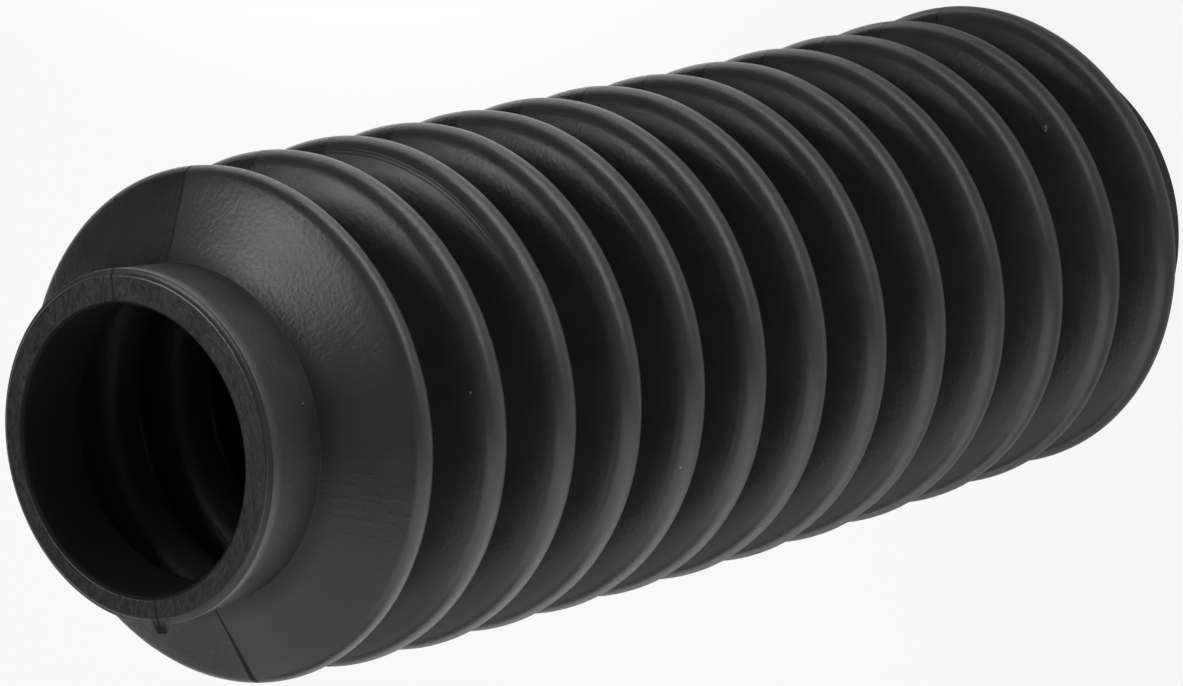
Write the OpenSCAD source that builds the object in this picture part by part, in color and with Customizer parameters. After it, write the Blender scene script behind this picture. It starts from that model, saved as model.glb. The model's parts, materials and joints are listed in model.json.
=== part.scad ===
// Moulded rubber bellows boot for a fork or shaft, standing on its large collar.
// Millimetres. The axis is Z, and the end face of the large collar lies at Z = 0.

/* [Folds] */
// Number of folds
fold_count = 13; // [3:1:24]
// Distance from one crest to the next
fold_pitch = 10.85; // [9:0.05:14]
// Diameter over the crests
crest_d = 53.6; // [48:0.2:66]
// Outside diameter at the bottom of a groove
groove_d = 38.6; // [36:0.2:44]
// Thickness of the folded wall
wall = 1.5; // [0.8:0.1:2.2]
// Radius inside a crest
crest_inside_r = 0.7; // [0.3:0.1:1.2]
// Radius outside at the bottom of a groove
groove_r = 1.2; // [0.4:0.1:1.6]

/* [Small collar] */
// Bore that grips the thinner tube
small_bore_d = 29.6; // [24:0.1:31]
// Diameter of the lip at the end of the collar
small_lip_d = 35.8; // [34:0.1:40]
// Diameter of the collar where its neck starts
small_neck_d = 34.8; // [33:0.1:38]
// Length of the collar
small_collar_h = 8; // [4:0.1:20]
// Length of the neck, from the collar to the middle of the first crest
small_neck_h = 5.95; // [5:0.05:10]

/* [Large collar] */
// Bore that grips the thicker tube
large_bore_d = 32.5; // [28:0.1:34]
// Diameter of the lip at the end of the collar
large_lip_d = 39.4; // [37:0.1:43]
// Diameter of the collar where its neck starts
large_neck_d = 38.4; // [36:0.1:42]
// Length of the collar
large_collar_h = 6.5; // [4:0.1:20]
// Length of the neck, from the collar to the middle of the first crest
large_neck_h = 5.45; // [4.5:0.05:10]

/* [Edges] */
// Radius outside where a collar runs into its neck
fillet_r = 0.4; // [0.2:0.1:1.6]
// Radius inside where a neck runs into its bore
throat_r = 1.2; // [0.4:0.1:2]
// Width of the bevel round the lip
lip_bevel_w = 0.65; // [0.2:0.05:1.4]
// Height of the bevel round the lip
lip_bevel_h = 0.45; // [0.1:0.05:1]
// Width of the bevel round the mouth of a bore
mouth_bevel_w = 0.3; // [0.2:0.1:1.2]
// Height of the bevel round the mouth of a bore
mouth_bevel_h = 0.3; // [0.1:0.05:1]

/* [Hidden] */
// Straight pieces in each rounded stretch of the section
arc_steps = 6;
crest_r = crest_inside_r + wall;
// Circles that round the crests and the grooves: distance of their centres from the axis
crest_c = crest_d / 2 - crest_r;
groove_c = groove_d / 2 + groove_r;
first_z = large_collar_h + large_neck_h;
last_z = first_z + (fold_count - 1) * fold_pitch;
top_z = last_z + small_neck_h + small_collar_h;
fold_tilt = tilt(crest_c - groove_c, fold_pitch / 2, crest_r + groove_r);
small_tilt = neck_tilt(small_neck_d, small_neck_h);
large_tilt = neck_tilt(large_neck_d, large_neck_h);

// Angle between the axis's normal plane and the normal of a flank that touches two circles,
// one on each side of it: dr and dz part their centres, and reach is the sum of their radii
function tilt(dr, dz, reach) = atan2(dr, dz) + asin(reach / norm([dr, dz]));

function neck_tilt(neck_d, neck_h) = tilt(crest_c - neck_d / 2 - fillet_r, neck_h, crest_r + fillet_r);

// Points on a circle about c from angle a0 to a1. A negative radius gives the far side of the circle
function arc(c, r, a0, a1) =
  [for (i = [0:arc_steps]) let (a = a0 + (a1 - a0) * i / arc_steps) c + r * [cos(a), sin(a)]];

function reverse(points) = [for (i = [len(points) - 1:-1:0]) points[i]];

// Crests and grooves from the lowest fold to the highest, at depth t below the outside of the wall
function fold_line(t) = [
  for (i = [0:fold_count - 1])
    let (
      z = first_z + i * fold_pitch,
      low = i == 0 ? large_tilt : fold_tilt,
      high = i == fold_count - 1 ? small_tilt : fold_tilt,
      crest = arc([crest_c, z], crest_r - t, -low, high),
      groove = arc([groove_c, z + fold_pitch / 2], -groove_r - t, fold_tilt, -fold_tilt)
    )
    each i == fold_count - 1 ? crest : concat(crest, groove)
];

// Outside of a neck: the fillet between the collar and the flank. side is 1 upward and -1 downward
function neck_fillet(neck_d, neck_h, crest_z, angle, side) =
  arc([neck_d / 2 + fillet_r, crest_z + side * neck_h], -fillet_r, side * angle, 0);

// Inside of a neck: the rounded corner between the flank and the bore
function throat(bore_d, crest_z, angle, side) =
  let (
    r = bore_d / 2 + throat_r,
    dz = (crest_inside_r + throat_r + cos(angle) * (crest_c - r)) / sin(angle)
  )
  arc([r, crest_z + side * dz], -throat_r, side * angle, 0);

// End of a collar from the outside to the bore: lip bevel, flat face and mouth bevel
function collar_end(lip_d, bore_d, z, side) = [
  [lip_d / 2, z - side * lip_bevel_h],
  [lip_d / 2 - lip_bevel_w, z],
  [bore_d / 2 + mouth_bevel_w, z],
  [bore_d / 2, z - side * mouth_bevel_h]
];

// One moulded piece: both collars, their necks and the folds, with the wall following the folds inside
module bellows() {
  outside = concat(
    reverse(neck_fillet(large_neck_d, large_neck_h, first_z, large_tilt, -1)),
    fold_line(0),
    neck_fillet(small_neck_d, small_neck_h, last_z, small_tilt, 1)
  );
  inside = concat(
    reverse(throat(large_bore_d, first_z, large_tilt, -1)),
    fold_line(wall),
    throat(small_bore_d, last_z, small_tilt, 1)
  );
  color([0.1, 0.1, 0.11])
    rotate_extrude($fn = 96)
      polygon(concat(
        outside,
        collar_end(small_lip_d, small_bore_d, top_z, 1),
        reverse(inside),
        reverse(collar_end(large_lip_d, large_bore_d, 0, -1))
      ));
}

bellows();
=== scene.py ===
import json
import math

import bmesh
import bpy
from mathutils import Matrix, Vector


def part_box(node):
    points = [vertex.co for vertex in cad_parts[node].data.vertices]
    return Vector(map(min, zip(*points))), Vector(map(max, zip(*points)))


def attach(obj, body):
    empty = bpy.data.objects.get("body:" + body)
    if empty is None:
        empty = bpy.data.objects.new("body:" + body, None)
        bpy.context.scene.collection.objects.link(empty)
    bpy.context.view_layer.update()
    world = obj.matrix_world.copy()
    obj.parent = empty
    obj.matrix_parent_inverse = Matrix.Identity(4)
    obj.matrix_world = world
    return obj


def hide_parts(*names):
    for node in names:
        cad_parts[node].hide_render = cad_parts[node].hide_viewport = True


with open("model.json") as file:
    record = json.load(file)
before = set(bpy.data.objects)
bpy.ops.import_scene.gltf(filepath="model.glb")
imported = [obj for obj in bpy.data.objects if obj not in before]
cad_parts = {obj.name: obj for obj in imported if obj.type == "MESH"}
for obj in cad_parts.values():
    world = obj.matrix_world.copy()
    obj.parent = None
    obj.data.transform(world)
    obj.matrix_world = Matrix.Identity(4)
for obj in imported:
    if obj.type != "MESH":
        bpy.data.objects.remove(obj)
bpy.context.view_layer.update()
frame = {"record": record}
mm = 0.001
record = frame["record"]
nodeLow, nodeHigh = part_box("bellows")
bores = {m["name"]: m["dims"]["r_mm"] for m in record["mounts"] if m["kind"] == "bore"}
print("frame loaded, boot", [round((b - a) / mm, 1) for a, b in zip(nodeLow, nodeHigh)], "mm")


# one socket of a shader tree, with the arithmetic that the materials use
class Value:
    def __init__(self, tree, socket):
        self.tree = tree
        self.socket = socket

    def math(self, operation, *others):
        sockets = dict(enumerate((self, *others)))
        return self.tree.add("ShaderNodeMath", {"operation": operation}, sockets)

    def __add__(self, other):
        return self.math("ADD", other)

    def __sub__(self, other):
        return self.math("SUBTRACT", other)

    def __mul__(self, other):
        return self.math("MULTIPLY", other)

    def __truediv__(self, other):
        return self.math("DIVIDE", other)

    def __rsub__(self, other):
        return self.tree.add("ShaderNodeMath", {"operation": "SUBTRACT"}, {0: other, 1: self})

    __radd__ = __add__
    __rmul__ = __mul__

    # 0 up to the low value, 1 from the high one on, and a smooth step between them
    def between(self, low, high):
        settings = {"interpolation_type": "SMOOTHSTEP"}
        return self.tree.add("ShaderNodeMapRange", settings, {0: self, 1: low, 2: high})

    # the same, with both lengths given in millimetres
    def span(self, lengths):
        return self.between(lengths[0] * mm, lengths[1] * mm)


class Tree:
    def __init__(self, owner):
        owner.use_nodes = True
        self.nodes = owner.node_tree.nodes
        self.links = owner.node_tree.links
        self.nodes.clear()

    # a node of any type: its settings first, then the numbers or links of its sockets
    def add(self, kind, settings=None, sockets=None, out=0):
        node = self.nodes.new(kind)
        for name, setting in (settings or {}).items():
            setattr(node, name, setting)
        for name, given in (sockets or {}).items():
            if isinstance(given, Value):
                self.links.new(given.socket, node.inputs[name])
            else:
                node.inputs[name].default_value = given
        return Value(self, node.outputs[out]) if len(node.outputs) else None

    def pick(self, value, out):
        return Value(self, value.socket.node.outputs[out])


# camera where the photograph was taken from: the boot's axis runs across the picture
cameraSpec = {
    "lens": 230.98,
    "sensor": 36,
    "clipEnd": 20,
    "turn": -82.18,
    "lift": 50.11,
    "roll": -103.35,
    "distance": 812.3 * mm,
    "aimHeight": 83.28 * mm,
    "drop": 0.34 * mm,
}


def makeCamera(spec):
    data = bpy.data.cameras.new("camera")
    data.lens = spec["lens"]
    data.sensor_width = spec["sensor"]
    data.clip_end = spec["clipEnd"]
    turned = Matrix.Rotation(math.radians(spec["turn"] + 90), 4, "Z")
    lifted = Matrix.Rotation(math.radians(90 - spec["lift"]), 4, "X")
    rolled = Matrix.Rotation(math.radians(spec["roll"]), 4, "Z")
    place = Matrix.Translation((0, -spec["drop"], spec["distance"]))
    camera = bpy.data.objects.new("camera", data)
    camera.matrix_world = Matrix.Translation((0, 0, spec["aimHeight"])) @ turned @ lifted @ rolled @ place
    bpy.context.scene.collection.objects.link(camera)
    bpy.context.scene.camera = camera


makeCamera(cameraSpec)
print("camera placed")


# the boot as moulded, in millimetres: section of the wall, lie of the soft folds, mould seams, steps
boot = {
    "folds": 13,
    "pitch": 10.85,
    "swell": 0.05,
    "crestRound": 2.2,
    "endRound": 1.75,
    "grooveRadius": 19.3,
    "grooveRound": 1.8,
    "wall": 1.5,
    "small": {"lip": 18.0, "neck": 17.4, "collar": 8.0, "neckHeight": 5.95, "bore": bores["small_bore"]},
    "large": {"lip": 19.7, "neck": 19.2, "collar": 6.5, "neckHeight": 5.45, "bore": bores["large_bore"]},
    "fillet": 0.08,
    "throat": 1.2,
    "lipStep": (0.4, 0.18),
    "lipFace": (0.65, 0.46),
    "mouthFlare": (0.3, 0.3),
    "mouthShift": (-0.3, 0.45),
    "mouthShiftDepth": 9.0,
    "mouthShiftRim": (0.4, 1.7),  # starts this far inside the neck, and is full after the second length
    "collarStretch": 0.2,
    "dish": 0.09,
    "dishRim": 0.5,
    "edgeRound": 0.12,
    "edgeSegments": 2,
    "slack": (0.59, 0.49, -0.17),
    "bendHeight": 80.0,
    "bendReach": 2.0,
    "bendRest": 9.0,
    "bendShrink": 0.48,
    "noseStart": 126.0,
    "noseShrink": 0.36,
    "noseRise": 0.16,
    "sag": 0.14,
    "seamTurn": 0.4,
    "seamDepth": 0.05,
    "seamUpper": 0.35,  # share of that depth along the upper side
    "seamLean": 0.1,  # faces that lean in more than this have no seam
    "outsideLean": -0.2,  # faces that lean in more than this belong to the inside
    "tagReach": 0.95,
    "tagHalf": 0.6,
    "tagRim": 0.3,
    "tagSpread": 1.5,
    "tagMargin": (0.1, 0.05),  # below the end face, and below the lip
    "weld": 0.001,
    "halfSteps": 72,  # round each half of the mould
    "arcTurn": 13,
    "innerTurn": 26,
    "flankCuts": ((6.8, 5), (3, 2)),  # lines longer than this get so many cuts
    "sharpTurn": 30,
    "flatNormal": 0.9995,
    "endZone": 1.0,  # sharp corners lie this near to an end
}
crestReach = nodeHigh[0] / mm + boot["swell"]
bootTop = nodeHigh[2] / mm + boot["collarStretch"]
firstCrest = boot["large"]["collar"] + boot["large"]["neckHeight"]
lastCrest = firstCrest + (boot["folds"] - 1) * boot["pitch"]


# lean of a flank that touches a crest circle and a groove circle from either side
def flankTilt(across, along, reach):
    return math.atan2(across, along) + math.asin(reach / math.hypot(across, along))


# how far below the bend's start a height lies, from 0 there to 1 at the floor
def bendShare(z):
    return max(0.0, 1 - z / boot["bendHeight"])


# how far along the nose a height lies, from 0 where it starts to 1 at the last crest, and on to 2
def noseShare(z):
    return min(2.0, max(0.0, z - boot["noseStart"]) / (lastCrest - boot["noseStart"]))


# centre and radius of the crest circles: the soft folds are spaced a little unevenly, the far ones
# draw in, and the one beside the small collar is tighter
def crestCentres():
    centres = []
    for i in range(boot["folds"]):
        t = i / (boot["folds"] - 1)
        slack = sum(a * math.sin(n * math.pi * t) for n, a in enumerate(boot["slack"], 1))
        z = firstCrest + i * boot["pitch"] + slack
        reach = crestReach - boot["bendShrink"] * bendShare(z) - boot["noseShrink"] * noseShare(z)
        radius = boot["endRound"] if i == boot["folds"] - 1 else boot["crestRound"]
        centres.append((reach - radius, z, radius))
    return centres


# rounded foot of the flank that runs from an end crest to its neck, or to the bore inside it
def flankFoot(end, crest, side, depth):
    r, z, radius = crest
    fillet = boot["fillet"]
    tilt = flankTilt(r - end["neck"] - fillet, end["neckHeight"], radius + fillet)
    if not depth:
        return (end["neck"] + fillet, z + side * end["neckHeight"], -fillet, side * tilt, 0)
    centre = end["bore"] + boot["throat"]
    reach = radius - depth + boot["throat"]
    drop = (reach + math.cos(tilt) * (r - centre)) / math.sin(tilt)
    return (centre, z + side * drop, -boot["throat"], side * tilt, 0)


# rounded stretches of the wall from the lowest neck to the highest, at a depth below its outside:
# centre, radius, and the angles at which each starts and ends
def wallStretches(depth):
    crests = crestCentres()
    low = flankFoot(boot["large"], crests[0], -1, depth)
    high = flankFoot(boot["small"], crests[-1], 1, depth)
    groove = boot["grooveRadius"] + boot["grooveRound"]
    stretches = [(*low[:3], low[4], low[3])]
    lean = low[3]
    for (r, z, radius), (nextR, nextZ, nextRadius) in zip(crests, crests[1:]):
        half = (nextZ - z) / 2
        rise = flankTilt(r - groove, half, radius + boot["grooveRound"])
        fall = flankTilt(nextR - groove, half, nextRadius + boot["grooveRound"])
        stretches.append((r, z, radius - depth, lean, rise))
        stretches.append((groove, z + half, -boot["grooveRound"] - depth, rise, -fall))
        lean = -fall
    r, z, radius = crests[-1]
    stretches.append((r, z, radius - depth, lean, high[3]))
    return stretches + [high]


# end of a collar from the outside to the bore: stepped lip, flat face and flared mouth
def collarEnd(end, z, side):
    stepIn, stepUp = boot["lipStep"]
    faceIn, faceUp = boot["lipFace"]
    flareOut, flareDepth = boot["mouthFlare"]
    low = z - side * faceUp
    return [
        (end["lip"], low, 0, 0, 0),
        (end["lip"] - stepIn, low + side * stepUp, 0, 0, 0),
        (end["lip"] - faceIn, z, 0, 0, 0),
        (end["bore"] + flareOut, z, 0, 0, 0),
        (end["bore"], z - side * flareDepth, 0, 0, 0),
    ]


def sectionStretches():
    inside = [(*s[:3], s[4], s[3]) for s in wallStretches(boot["wall"])]
    topEnd = collarEnd(boot["small"], bootTop, 1)
    lowEnd = collarEnd(boot["large"], 0, -1)
    outer = [(s, boot["arcTurn"]) for s in wallStretches(0) + topEnd]
    return outer + [(s, boot["innerTurn"]) for s in inside[::-1] + lowEnd[::-1]]


# draws the closed outline of the section: straight lines between corners and rounded stretches
def drawSection(bm):
    first = tip = None
    edgeCorners = []
    for (r, z, radius, start, end), turn in sectionStretches():
        place = Vector((r + radius * math.cos(start), 0, z + radius * math.sin(start))) * mm
        if tip:
            tip = bmesh.ops.extrude_vert_indiv(bm, verts=[tip])["verts"][0]
            tip.co = place
        else:
            first = tip = bm.verts.new(place)
        if radius:
            steps = max(3, round(abs(math.degrees(end - start)) / turn))
            spun = bmesh.ops.spin(bm, geom=[tip], cent=(r * mm, 0, z * mm), axis=(0, -1, 0),
                                  angle=end - start, steps=steps)
            tip = next(g for g in spun["geom_last"] if isinstance(g, bmesh.types.BMVert))
        else:
            edgeCorners.append(tip)
    bm.edges.new((tip, first))
    bmesh.ops.bevel(bm, geom=edgeCorners, offset=boot["edgeRound"] * mm, offset_type="OFFSET",
                    segments=boot["edgeSegments"], profile=0.5, affect="VERTICES", material=-1)
    for least, cuts in boot["flankCuts"]:
        flanks = [e for e in bm.edges if e.calc_length() > least * mm]
        bmesh.ops.subdivide_edges(bm, edges=flanks, cuts=cuts)


# spins the section round the axis: half a turn from seam to seam, with close steps beside each seam,
# and then the other half
def spinSection(bm):
    seam = math.radians(boot["seamTurn"])
    halfTurn = [(2 * seam, 2), (math.pi - 4 * seam, boot["halfSteps"]), (2 * seam, 2)]
    last = bm.verts[:] + bm.edges[:]
    for angle, steps in halfTurn + halfTurn:
        spun = bmesh.ops.spin(bm, geom=last, cent=(0, 0, 0), axis=(0, 0, 1), angle=angle, steps=steps)
        last = spun["geom_last"]
    bmesh.ops.remove_doubles(bm, verts=bm.verts[:], dist=boot["weld"] * mm)
    bmesh.ops.recalc_face_normals(bm, faces=bm.faces[:])
    bm.normal_update()


# mould seams: a shallow line down the outside on opposite sides, fainter on the upper one
def cutSeams(bm, outside):
    lipHeight = boot["lipFace"][1]
    for v in bm.verts:
        lean = v.normal.dot(Vector((v.co.x, v.co.y, 0)).normalized())
        v[outside] = lean > boot["outsideLean"]
        away = min(v.co.z, bootTop * mm - v.co.z) > lipHeight * mm
        if away and abs(v.co.y) < boot["weld"] * mm and lean > boot["seamLean"]:
            v.co -= v.normal * boot["seamDepth"] * (boot["seamUpper"] if v.co.x > 0 else 1) * mm


# a tag of flash is left on the lip of the small collar, at the end of the lower seam
def pullTag(bm, outside):
    faceIn, faceUp = boot["lipFace"]
    belowFace, belowLip = boot["tagMargin"]
    for v in bm.verts:
        down = bootTop - v.co.z / mm
        beside = min(1.0, max(0.0, (boot["tagHalf"] - abs(v.co.y) / mm) / boot["tagRim"]))
        if belowFace < down < faceUp + belowLip and v.co.x / mm < faceIn - boot["small"]["lip"]:
            v.co.x -= boot["tagReach"] * beside * mm
            v.co.y *= 1 + boot["tagSpread"] * beside
            v[outside] = min(v[outside], 1 - beside)


# the core of the mould sat a little to one side at the small collar, and the cone below it is dished
def shiftMouth(bm, outside):
    neck, coneTop = boot["small"]["neck"], bootTop - boot["small"]["collar"]
    coneReach, coneLow, _ = crestCentres()[-1]
    rimIn, rimWidth = boot["mouthShiftRim"]
    for v in bm.verts:
        r, z = math.hypot(v.co.x, v.co.y) / mm, v.co.z / mm
        depth = (bootTop - z) / boot["mouthShiftDepth"]
        inward = min(1.0, max(0.0, (neck - rimIn - r) / rimWidth))
        if depth < 1:
            v.co += Vector((*boot["mouthShift"], 0)) * (1 - depth) * inward * mm
        share = (r - neck) / (coneReach + boot["dishRim"] - neck)
        if v[outside] and coneLow < z < coneTop and 0 < share < 1:
            v.co -= v.normal * 4 * share * (1 - share) * boot["dish"] * mm


# soft lean of the far folds: they drift aside and tilt, and the collar stays flat on the floor
def leanBoot(bm):
    for v in bm.verts:
        share = bendShare(max(v.co.z / mm, boot["bendRest"]))
        slope = 2 * boot["bendReach"] * share / boot["bendHeight"]
        settle = min(1.0, max(0.0, (v.co.z / mm - boot["large"]["collar"]) / boot["large"]["neckHeight"]))
        tilt = slope * settle * settle * (3 - 2 * settle)
        v.co.z += v.co.x * tilt
        sag = boot["sag"] * math.sin(math.pi * v.co.z / nodeHigh[2])
        rise = boot["noseRise"] * math.sin(math.pi * noseShare(v.co.z / mm) / 2)
        v.co.x += (boot["bendReach"] * share * share - sag + rise) * mm


# shading runs on round the folds and stops at sharp corners and round the flat end faces
def shadeFaces(bm):
    bm.normal_update()
    for face in bm.faces:
        face.smooth = True
    for edge in bm.edges:
        if not boot["endZone"] < edge.verts[0].co.z / mm < bootTop - boot["endZone"]:
            flat = {abs(face.normal.z) > boot["flatNormal"] for face in edge.link_faces}
            edge.smooth = len(flat) == 1 and edge.calc_face_angle(0) < math.radians(boot["sharpTurn"])


def makeBoot():
    bm = bmesh.new()
    outside = bm.verts.layers.float.new("outside")
    drawSection(bm)
    spinSection(bm)
    cutSeams(bm, outside)
    pullTag(bm, outside)
    shiftMouth(bm, outside)
    leanBoot(bm)
    shadeFaces(bm)
    mesh = bpy.data.meshes.new("boot")
    bm.to_mesh(mesh)
    bm.free()
    piece = bpy.data.objects.new("boot", mesh)
    bpy.context.scene.collection.objects.link(piece)
    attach(piece, "root")
    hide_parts("bellows")
    return piece


bootPiece = makeBoot()
print("boot modelled,", len(bootPiece.data.polygons), "faces")


# black moulded rubber with bloom, tool rings and dust, darker and smoother from one half of the mould;
# zones are heights or distances from the axis in millimetres, between which a mark fades in or out
rubber = {
    "tone": 0.018,
    "blue": 1.04,
    "bloom": 0.8,
    "cloudScale": 220.0,
    "roughness": 0.34,
    "mottle": 0.14,
    "grainScale": 2200.0,
    "grainDepth": 0.032 * mm,
    "grainRough": 0.06,
    "ringScale": 1400.0,
    "ringTurn": 5.0,
    "ringDepth": 0.004 * mm,
    "ringRough": 0.08,
    "halfTone": -0.35,
    "halfRough": -0.07,
    "halfEnd": (155.3, 155.8),
    "streakScale": 380.0,
    "streakTurn": 38.0,
    "streakDepth": 0.032 * mm,
    "streakStart": (139, 142),
    "streakEnd": (151, 155),
    "trimScale": 1100.0,
    "trimZone": (bootTop - 0.15, bootTop - 0.05),
    "trimDepth": 0.04 * mm,
    "trimRough": 0.25,
    "trimTone": 0.03,
    "trimLight": 0.85,  # noise level at which the trimmed face is as light as the rest
    "sideFade": (-1, 1),
    "halfFade": (0, 0.1),
    "seamWidth": 0.1 * mm,
    "seamBase": 0.8,
    "seamLower": 0.3,
    "seamFlare": 3,
    "seamPlain": 0.9,
    "seamEdge": (0.5, 1.2),
    "seamShare": 0.35,
    "seamSharePlain": 0.4,
    "seamShareLower": 0.5,
    "flareZone": (18, 27),
    "plainZone": (139, 142),
    "creaseShare": 0.42,
    "creaseReach": (17.3, 19.8),
    "creaseLow": (140, 146),
    "creaseTop": (148.4, 150.6),
    "dustScale": 420.0,
    "dustShare": 0.991,
    "dustSize": 0.09 * mm,
    "dustCore": 0.6,
    "dustTone": 0.22,
    "dustRough": 0.4,
    "specks": ((2.82, -17.28, 149.82), (1.05, -24.95, 133.26), (-11.89, -23.62, 100.12)),
    "speckSize": 0.15,
    "markCore": 0.4,
    "pimple": (14.21, -20.87, 25.82),
    "pimpleSize": 0.5,
    "pimpleHeight": 0.22 * mm,
    "pimpleTone": 0.05,
    "scribes": (122.05, 122.22),
    "scribeSide": (12, 17),
    "scribeReach": (24.4, 24.9),
    "scribeEdge": (0.01, 0.05),
    "scribeDepth": 0.02 * mm,
    "scribeShare": 0.3,
    "shadeTone": 0.008,
    "shadeMottle": (0.7, 0.6),
    "shadeRough": 0.75,
    "shadeShine": 0.14,
    "deepZone": (136, 150),
    "deepTone": 0.02,
    "deepRough": -0.43,
}


def makeRubber():
    material = bpy.data.materials.new("rubber")
    tree = Tree(material)
    place = tree.add("ShaderNodeTexCoord", out="Object")
    split = tree.add("ShaderNodeSeparateXYZ", {}, {0: place})
    x, y, z = (tree.pick(split, axis) for axis in "XYZ")
    across = (x * x + y * y).math("SQRT")
    outside = tree.add("ShaderNodeAttribute", {"attribute_name": "outside"}, out="Fac")

    def noise(vector, scale, detail):
        return tree.add("ShaderNodeTexNoise", {}, {"Vector": vector, "Scale": scale, "Detail": detail})

    # cloudy bloom, fine grain, and rings from the turned mould that change little round the axis
    cloud = noise(place, rubber["cloudScale"], 4.0)
    grain = noise(place, rubber["grainScale"], 3.0)
    fine, slow = rubber["ringScale"], rubber["ringTurn"]
    section = tree.add("ShaderNodeCombineXYZ", {}, {0: across * fine, 1: z * fine, 2: x / across * slow})
    rings = tree.add("ShaderNodeTexNoise", {"noise_dimensions": "4D"},
                     {"Vector": section, "W": y / across * slow, "Scale": 1.0, "Detail": 2.0})

    # faint streaks up the cone at the small collar, where the mould was polished
    turn = y.math("ARCTAN2", x) * rubber["streakTurn"]
    fine = rubber["streakScale"]
    along = tree.add("ShaderNodeCombineXYZ", {}, {0: turn, 1: across * fine, 2: z * fine})
    streak = noise(along, 1.0, 3.0) * z.span(rubber["streakStart"]) * (1 - z.span(rubber["streakEnd"]))

    # the end of the small collar was trimmed after moulding, which left it cloudy
    trimmed = z.span(rubber["trimZone"]) * outside
    trim = noise(place, rubber["trimScale"], 4.0) * trimmed

    # the seam between the mould halves: a dark line on the outside, broad and open along the lower side
    lower = 1 - x.span(rubber["sideFade"])
    flare = rubber["seamLower"] + rubber["seamFlare"] * across.span(rubber["flareZone"])
    plain = z.span(rubber["plainZone"]) * (1 - lower)
    width = rubber["seamBase"] + cloud + lower * flare + rubber["seamPlain"] * plain
    line = y.math("ABSOLUTE") / (rubber["seamWidth"] * width)
    seam = (1 - line.between(*rubber["seamEdge"])) * outside
    seam = seam * (rubber["seamShare"] + rubber["seamSharePlain"] * plain + rubber["seamShareLower"] * lower)
    farHalf = y.span(rubber["halfFade"]) * outside * (1 - z.span(rubber["halfEnd"]))

    # painted shade in the corner at the root of the small collar: the rubber there is mixed towards the
    # darker, duller copy
    cornerShade = (1 - across.span(rubber["creaseReach"])) * (1 - z.span(rubber["creaseTop"]))
    cornerShade = cornerShade * z.span(rubber["creaseLow"]) * outside * rubber["creaseShare"]

    # specks of dust: a few cells of a fine pattern have one
    cells = tree.add("ShaderNodeTexVoronoi", {}, {"Vector": place, "Scale": rubber["dustScale"]})
    chance = tree.add("ShaderNodeSeparateColor", {}, {0: tree.pick(cells, "Color")})
    size = rubber["dustSize"]
    speck = 1 - (cells / rubber["dustScale"]).between(size * rubber["dustCore"], size)
    dust = speck * chance.math("GREATER_THAN", rubber["dustShare"]) * outside

    # single marks: larger specks, a pimple on a far fold with a painted highlight on its centre, and two
    # fine scribed lines beside a crest
    def mark(spot, size):
        spot = [c * mm for c in spot]
        gap = tree.add("ShaderNodeVectorMath", {"operation": "DISTANCE"}, {0: place, 1: spot}, "Value")
        return 1 - gap.span((rubber["markCore"] * size, size))

    for spot in rubber["specks"]:
        dust = dust + mark(spot, rubber["speckSize"])
    pimple = mark(rubber["pimple"], rubber["pimpleSize"])
    scribed = x.span(rubber["scribeSide"]) * across.span(rubber["scribeReach"]) * outside
    scribe = sum((1 - (z - level * mm).math("ABSOLUTE").span(rubber["scribeEdge"])) * scribed
                 for level in rubber["scribes"])

    tone = rubber["tone"] * (1 + rubber["bloom"] * (cloud - 0.5) + farHalf * rubber["halfTone"])
    # dust and specks are lighter; the pimple's lighter centre is a painted highlight
    tone = tone + dust * rubber["dustTone"] + pimple * rubber["pimpleTone"]
    tone = (tone + rubber["trimTone"] * (trim - rubber["trimLight"] * trimmed)).math("MAXIMUM", 0.0)
    colour = tree.add("ShaderNodeCombineColor", {}, {0: tone, 1: tone, 2: tone * rubber["blue"]})
    rough = rubber["roughness"] + rubber["mottle"] * (cloud - 0.5) + farHalf * rubber["halfRough"]
    rough = rough + rubber["grainRough"] * (grain - 0.5) + rubber["ringRough"] * (rings - 0.5)
    rough = rough + dust * rubber["dustRough"] + rubber["trimRough"] * (trim - 0.5 * trimmed)
    height = grain * rubber["grainDepth"] + rings * rubber["ringDepth"] + streak * rubber["streakDepth"]
    height = height + pimple * rubber["pimpleHeight"] - scribe * rubber["scribeDepth"]
    height = height + trim * rubber["trimDepth"]
    bump = tree.add("ShaderNodeBump", {}, {"Strength": 1.0, "Distance": 1.0, "Height": height})
    skin = tree.add("ShaderNodeBsdfPrincipled", {}, {
        "Base Color": colour,
        "Roughness": rough,
        "Normal": bump,
    })

    # a darker, duller copy of the rubber: painted shade in the bore and in the corner at the root of the
    # small collar, and the dark line of the seam; deep inside the folds it is smoother, and its tone rises
    # there as painted light
    deep = (1 - outside) * (1 - z.span(rubber["deepZone"]))
    least, more = rubber["shadeMottle"]
    # painted shade: the base tone is darker than outside; painted light: it rises deep inside, where little
    # light reaches
    shadeTone = (rubber["shadeTone"] + rubber["deepTone"] * deep) * (least + more * cloud)
    shadeColour = tree.add("ShaderNodeCombineColor", {}, {0: shadeTone, 1: shadeTone, 2: shadeTone})
    shade = tree.add("ShaderNodeBsdfPrincipled", {}, {
        "Base Color": shadeColour,
        "Roughness": rubber["shadeRough"] + rubber["deepRough"] * deep,
        "Specular IOR Level": rubber["shadeShine"],
        "Normal": bump,
    })
    share = 1 - outside + seam.math("MAXIMUM", cornerShade) + rubber["scribeShare"] * scribe
    shader = tree.add("ShaderNodeMixShader", {}, {0: share, 1: skin, 2: shade})
    tree.add("ShaderNodeOutputMaterial", {}, {"Surface": shader})
    return material


bootPiece.data.materials.append(makeRubber())
print("rubber made")


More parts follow.
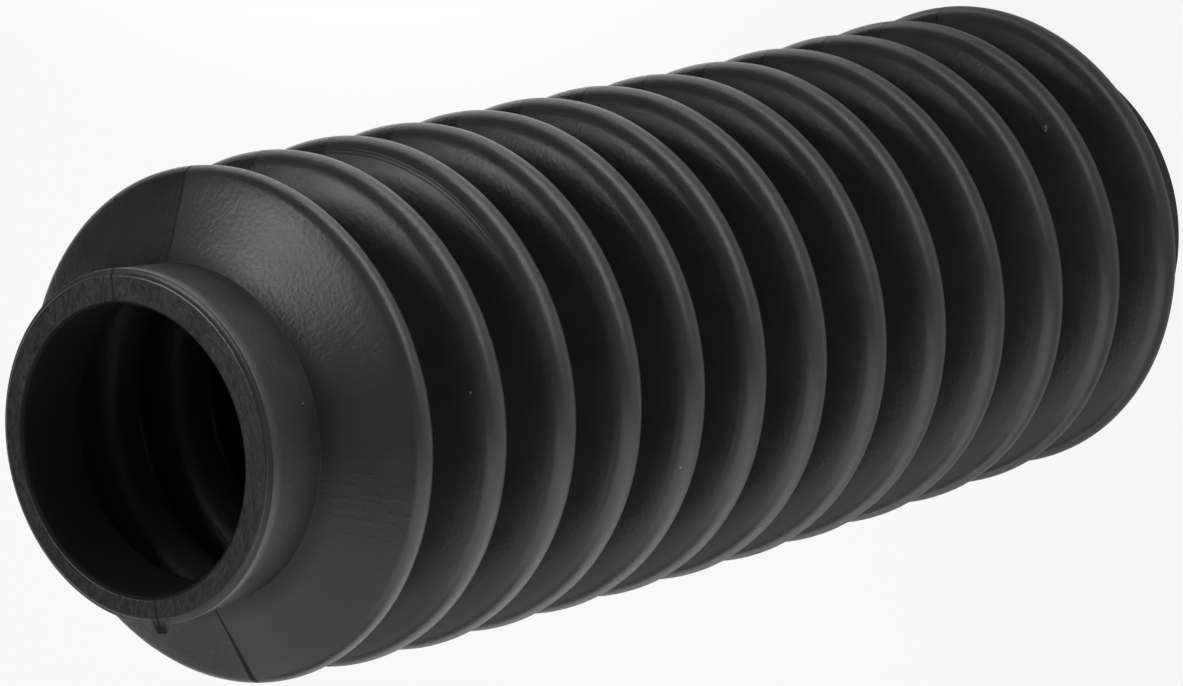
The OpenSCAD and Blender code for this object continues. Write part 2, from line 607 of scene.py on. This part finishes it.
# floor, world and lamps, in metres
stageSpec = {
    "floorSize": 3.0,
    "floorColour": (0.8, 0.8, 0.8, 1),
    "floorGlow": 0.9,
    # glow of the floor in glossy rays only, a painted reflection
    "floorNear": 0.11,
    "floorShine": 0.3,
    "floorFade": (0.05, 0.3),
    "worldLevel": 0.22,
    "worldGrade": 0.09,
    "beamBlend": 0.5,
}


def makeFloor():
    bm = bmesh.new()
    bmesh.ops.create_grid(bm, x_segments=1, y_segments=1, size=stageSpec["floorSize"] / 2)
    mesh = bpy.data.meshes.new("floor")
    bm.to_mesh(mesh)
    bm.free()
    floor = bpy.data.objects.new("floor", mesh)
    bpy.context.scene.collection.objects.link(floor)
    material = bpy.data.materials.new("floorPaper")
    tree = Tree(material)
    seen = tree.add("ShaderNodeLightPath")
    place = tree.add("ShaderNodeTexCoord", out="Object")
    away = tree.add("ShaderNodeVectorMath", {"operation": "LENGTH"}, {0: place}, "Value")
    # painted reflection: in glossy rays only the floor glows, faintly near the boot and more strongly
    # further out, and the crests and collar show it as highlights
    reflectionGlow = stageSpec["floorNear"] + away.between(*stageSpec["floorFade"]) * stageSpec["floorShine"]
    share = seen * stageSpec["floorGlow"] + tree.pick(seen, "Is Glossy Ray") * reflectionGlow
    paper = tree.add("ShaderNodeBsdfDiffuse", {}, {"Color": stageSpec["floorColour"]})
    glow = tree.add("ShaderNodeEmission", {}, {"Strength": 1.0})
    mixed = tree.add("ShaderNodeMixShader", {}, {0: share, 1: paper, 2: glow})
    tree.add("ShaderNodeOutputMaterial", {}, {"Surface": mixed})
    mesh.materials.append(material)


def makeWorld():
    world = bpy.data.worlds.new("studio")
    bpy.context.scene.world = world
    tree = Tree(world)
    seen = tree.add("ShaderNodeLightPath")
    way = tree.add("ShaderNodeSeparateXYZ", {}, {0: tree.add("ShaderNodeTexCoord", out="Generated")})
    level = stageSpec["worldLevel"] - stageSpec["worldGrade"] * tree.pick(way, "Y")
    level = seen + (1 - seen) * level
    sky = tree.add("ShaderNodeBackground", {}, {"Strength": level})
    tree.add("ShaderNodeOutputWorld", {}, {"Surface": sky})


# a soft box that faces the middle of the boot from a turn and lift seen from there
def makeLamp(name, turn, lift, distance, size, level):
    data = bpy.data.lights.new(name, "AREA")
    data.shape = "RECTANGLE"
    data.size, data.size_y = size
    data.energy = level * size[0] * size[1] * math.pi
    lamp = bpy.data.objects.new(name, data)
    aim = Vector((0, 0, bootTop / 2 * mm))
    a, b = math.radians(turn), math.radians(lift)
    away = Vector((math.cos(a) * math.cos(b), math.sin(a) * math.cos(b), math.sin(b)))
    lamp.location = aim + away * distance
    lamp.rotation_euler = away.to_track_quat("Z", "Y").to_euler()
    bpy.context.scene.collection.objects.link(lamp)


# a narrow beam from above that brightens the floor beside the boot and misses the boot itself
def makeBeam(name, turn, reach, height, radius, level):
    data = bpy.data.lights.new(name, "SPOT")
    data.spot_size = 2 * math.atan(radius / height)
    data.spot_blend = stageSpec["beamBlend"]
    data.energy = level * (2 * math.pi * height) ** 2
    beam = bpy.data.objects.new(name, data)
    a = math.radians(turn)
    beam.location = (math.cos(a) * reach, math.sin(a) * reach, height)
    bpy.context.scene.collection.objects.link(beam)


lamps = {
    "key": {"turn": 27, "lift": 66, "distance": 0.237, "size": (0.115, 0.115), "level": 4.8},
    "card": {"turn": 165, "lift": 43, "distance": 0.6, "size": (0.6, 0.65), "level": 0.8},
    "top": {"turn": 112, "lift": 60, "distance": 0.6, "size": (0.2, 0.2), "level": 0.7},
    "side": {"turn": 130, "lift": 16, "distance": 0.6, "size": (0.35, 0.35), "level": 0.4},
    "low": {"turn": 220, "lift": 17, "distance": 0.6, "size": (0.62, 0.55), "level": 1.3},
    "front": {"turn": 264, "lift": 2, "distance": 0.6, "size": (0.4, 0.16), "level": 0.15},
    "strip": {"turn": -45, "lift": -5, "distance": 0.38, "size": (0.55, 0.085), "level": 2.4},
}
beams = {
    "beamRight": {"turn": -35, "reach": 0.55, "height": 1.3, "radius": 0.4, "level": 3.4},
    "beamFront": {"turn": 262, "reach": 0.42, "height": 1.3, "radius": 0.34, "level": 0.1},
    "beamLow": {"turn": 195, "reach": 0.42, "height": 1.3, "radius": 0.36, "level": 1.8},
    "beamBack": {"turn": 35, "reach": 0.16, "height": 1.3, "radius": 0.12, "level": 1.0},
    "beamUp": {"turn": 8, "reach": 0.45, "height": 1.3, "radius": 0.3, "level": 1.6},
}
makeFloor()
makeWorld()
for name, spec in lamps.items():
    makeLamp(name, **spec)
for name, spec in beams.items():
    makeBeam(name, **spec)
print("floor, world and lamps placed")

bpy.context.scene.view_settings.view_transform = "Standard"
